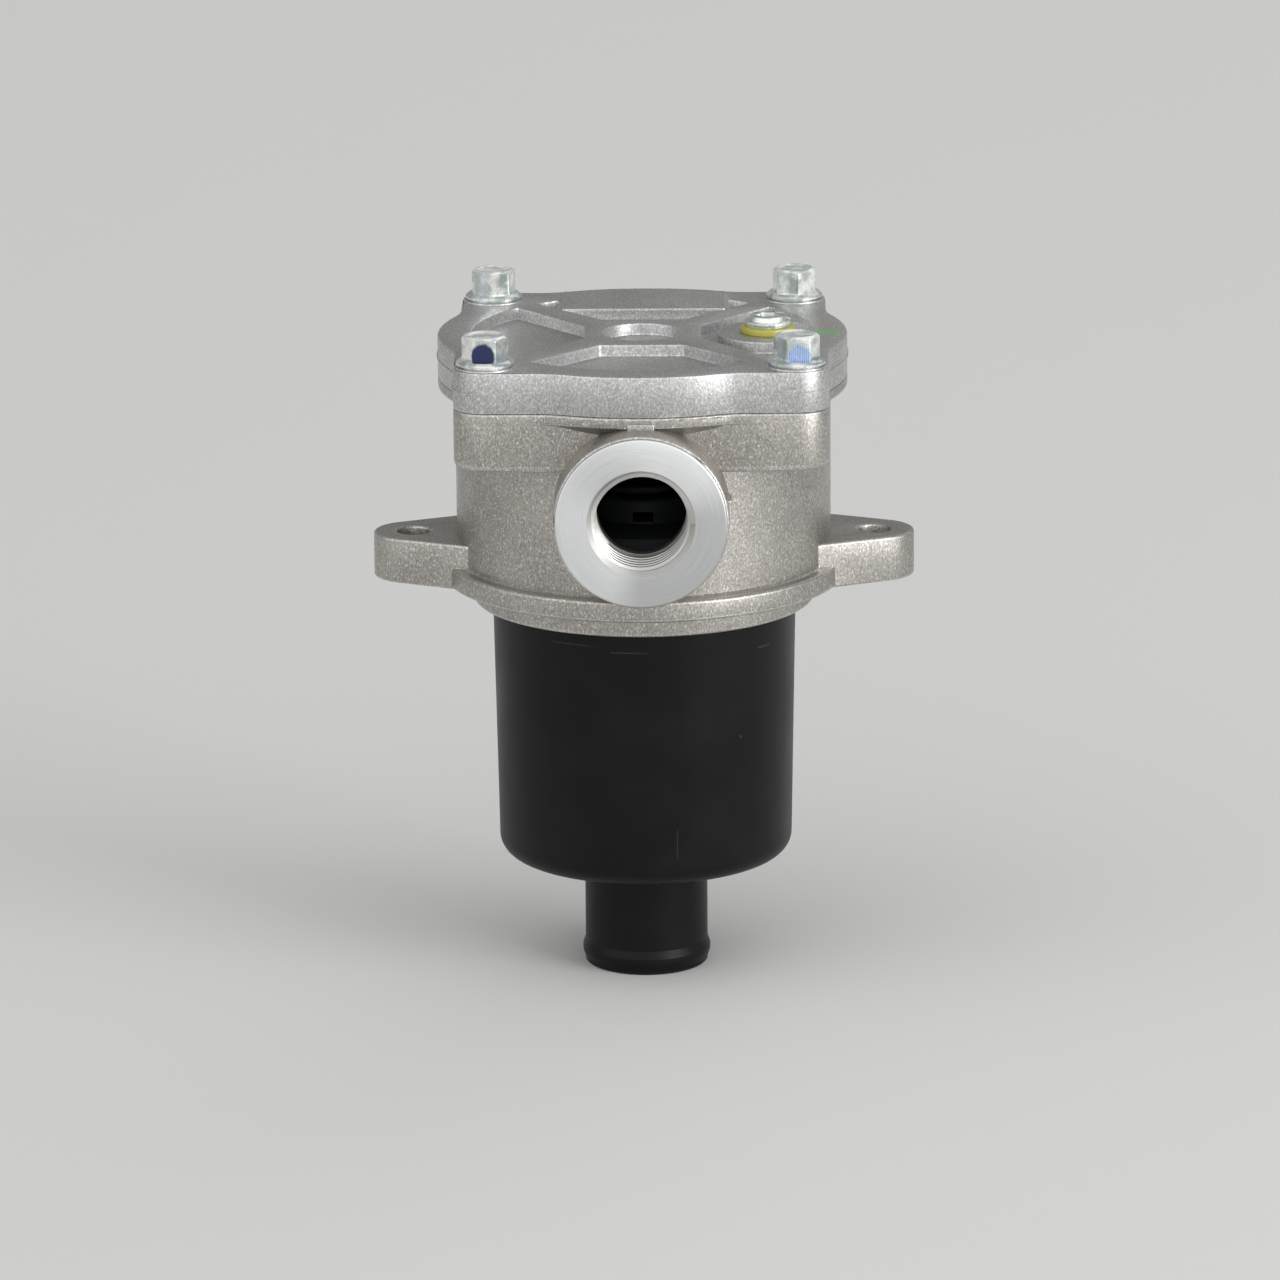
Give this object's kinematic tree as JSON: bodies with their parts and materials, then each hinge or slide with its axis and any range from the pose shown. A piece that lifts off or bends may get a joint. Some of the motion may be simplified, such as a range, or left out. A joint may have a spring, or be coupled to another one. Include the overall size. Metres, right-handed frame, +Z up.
{
  "type": "hydraulic filter",
  "caption": "Tank-top return filter: cast head with mounting ears and side inlet, bolted cover, moulded bowl with outlet spigot, pleated element and bypass valve inside.",
  "frame": {"origin": "centre of the outlet spigot's mouth, where the filter stands", "axes": "+Z up along the filter's axis towards the cover, -Y out of the side inlet, the two mounting ears along X"},
  "size_m": [0.135, 0.1109, 0.1705],
  "materials": {
    "cast_head": "shot-blasted die casting",
    "cast_cover": "shot-blasted die casting",
    "zinc_steel": "bright zinc plate with a pale green tint",
    "yellow_washer": "satin",
    "black_moulding": "satin, glass-filled nylon",
    "seal_rubber": "matt",
    "pressed_steel": "satin, tinned",
    "dark_spring": "black phosphate",
    "bright_spring": "drawn wire",
    "filter_medium": "resin-treated cellulose"
  },
  "bodies": {
    "filter": {"head": "cast_head", "cover": "cast_cover", "cover_bolts": "zinc_steel", "cover_seal": "seal_rubber", "gauge_plug": "zinc_steel", "plug_washer": "yellow_washer", "bowl": "black_moulding", "bowl_seal": "seal_rubber", "hold_down_spring": "dark_spring", "element_top_cap": "pressed_steel", "element_media": "filter_medium", "element_core": "pressed_steel", "element_bottom_cap": "pressed_steel", "neck_seal": "seal_rubber", "bypass_housing": "black_moulding", "bypass_spring": "bright_spring", "bypass_cage": "pressed_steel"},
    "poppet": {"bypass_poppet": "pressed_steel", "poppet_face": "seal_rubber", "poppet_stem": "pressed_steel"}
  },
  "joints": [
    {"name": "poppet_slide", "type": "slide", "parent": "filter", "child": "poppet", "axis": [0, 0, -1], "range_m": [0, 0.004], "stiffness_N_per_m": 5000, "springref_m": -0.009, "deforming": ["bypass_spring"]}
  ]
}
